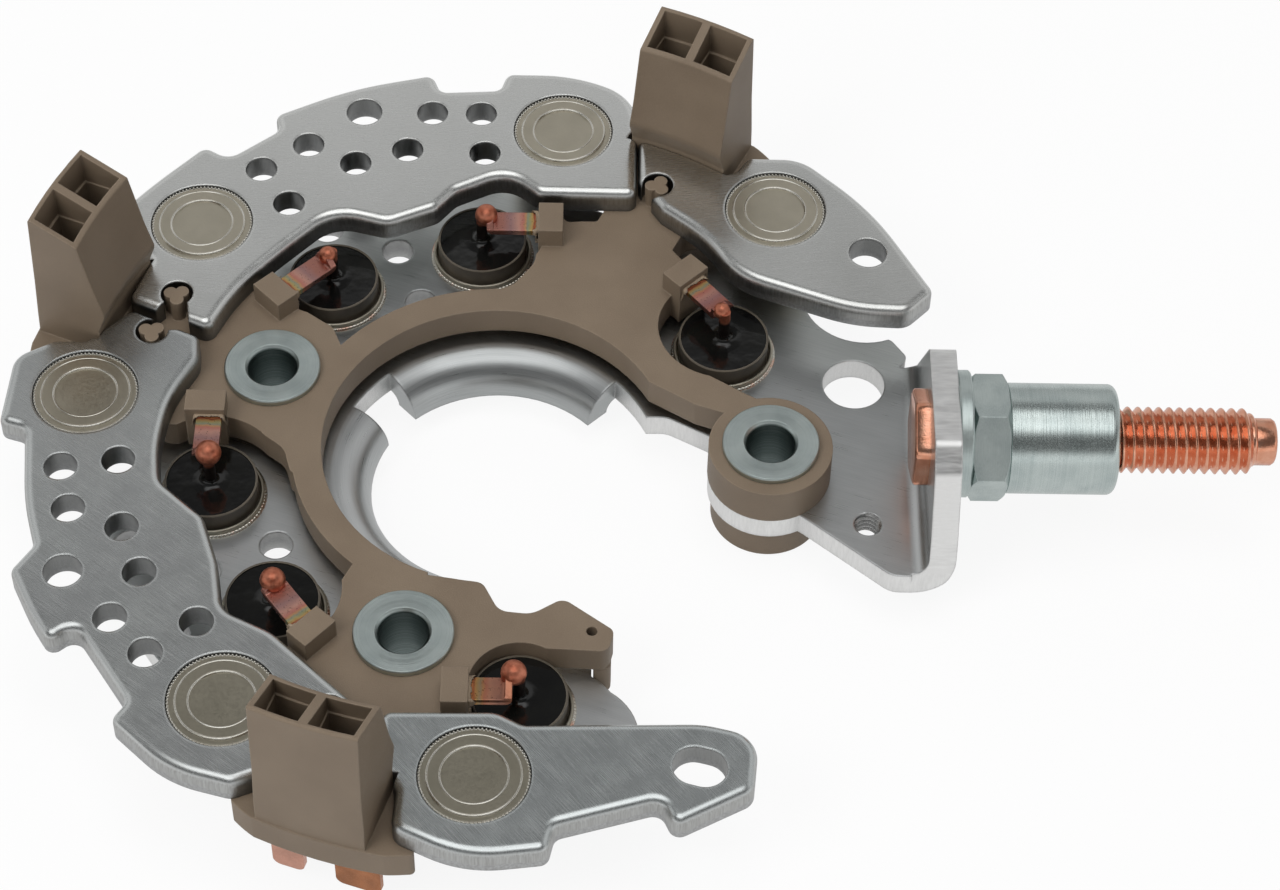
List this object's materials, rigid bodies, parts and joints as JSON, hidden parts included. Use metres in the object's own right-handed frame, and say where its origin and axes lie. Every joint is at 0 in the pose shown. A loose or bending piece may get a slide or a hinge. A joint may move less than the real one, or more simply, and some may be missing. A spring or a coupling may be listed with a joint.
{
  "type": "alternator rectifier",
  "caption": "Ring-shaped alternator rectifier with press-fit diodes in stacked aluminium heat sinks, a moulded phase terminal carrier and an output stud.",
  "frame": {"origin": "on the shaft axis, at the top face of the negative plates", "axes": "+Z along the shaft axis towards the terminal towers, +X along the output stud"},
  "size_m": [0.1526, 0.1193, 0.0332],
  "materials": {
    "heat_sink_aluminium": "brushed stamping with rolled edges",
    "moulded_plastic": "taupe glass-filled moulding, satin",
    "copper_strip": "bare copper with heat tint by the welds",
    "bush_steel": "turned, zinc plated with a blue-grey bloom",
    "insulator_plastic": "taupe satin moulding",
    "stud_copper": "copper-plated, dull",
    "zinc_plated_steel": "bright zinc with a blue tint",
    "nickel_plated_cup": "knurled, dull nickel",
    "black_potting": "glossy cast resin",
    "tinned_copper": "dull, fused to a bead at the end",
    "sleeve_plastic": "thin translucent brown sleeve",
    "silicon": "polished chip, sealed in potting"
  },
  "bodies": {
    "root": {"positive_heat_sink": "heat_sink_aluminium", "negative_plate_left": "heat_sink_aluminium", "negative_plate_rear": "heat_sink_aluminium", "negative_plate_right": "heat_sink_aluminium", "negative_plate_front": "heat_sink_aluminium", "terminal_carrier": "moulded_plastic", "phase_terminal_1": "copper_strip", "phase_terminal_2": "copper_strip", "phase_terminal_3": "copper_strip", "phase_terminal_4": "copper_strip", "phase_terminal_5": "copper_strip", "phase_terminal_6": "copper_strip", "bush_1": "bush_steel", "lower_insulator_1": "insulator_plastic", "bush_2": "bush_steel", "lower_insulator_2": "insulator_plastic", "bush_3": "bush_steel", "lower_insulator_3": "insulator_plastic", "b_plus_stud": "stud_copper", "b_plus_washer": "zinc_plated_steel", "b_plus_nut": "zinc_plated_steel", "b_plus_sleeve": "zinc_plated_steel", "positive_diode_1_cup": "nickel_plated_cup", "positive_diode_1_potting": "black_potting", "positive_diode_1_lead": "tinned_copper", "positive_diode_2_cup": "nickel_plated_cup", "positive_diode_2_potting": "black_potting", "positive_diode_2_lead": "tinned_copper", "positive_diode_3_cup": "nickel_plated_cup", "positive_diode_3_potting": "black_potting", "positive_diode_3_lead": "tinned_copper", "positive_diode_4_cup": "nickel_plated_cup", "positive_diode_4_potting": "black_potting", "positive_diode_4_lead": "tinned_copper", "positive_diode_5_cup": "nickel_plated_cup", "positive_diode_5_potting": "black_potting", "positive_diode_5_lead": "tinned_copper", "positive_diode_6_cup": "nickel_plated_cup", "positive_diode_6_potting": "black_potting", "positive_diode_6_lead": "tinned_copper", "negative_diode_1_cup": "nickel_plated_cup", "negative_diode_1_potting": "black_potting", "negative_diode_1_lead": "tinned_copper", "negative_diode_2_cup": "nickel_plated_cup", "negative_diode_2_potting": "black_potting", "negative_diode_2_lead": "tinned_copper", "negative_diode_3_cup": "nickel_plated_cup", "negative_diode_3_potting": "black_potting", "negative_diode_3_lead": "tinned_copper", "negative_diode_4_cup": "nickel_plated_cup", "negative_diode_4_potting": "black_potting", "negative_diode_4_lead": "tinned_copper", "negative_diode_5_cup": "nickel_plated_cup", "negative_diode_5_potting": "black_potting", "negative_diode_5_lead": "tinned_copper", "negative_diode_6_cup": "nickel_plated_cup", "negative_diode_6_potting": "black_potting", "negative_diode_6_lead": "tinned_copper", "diode_sleeves": "sleeve_plastic", "diode_chips": "silicon"}
  },
  "joints": []
}
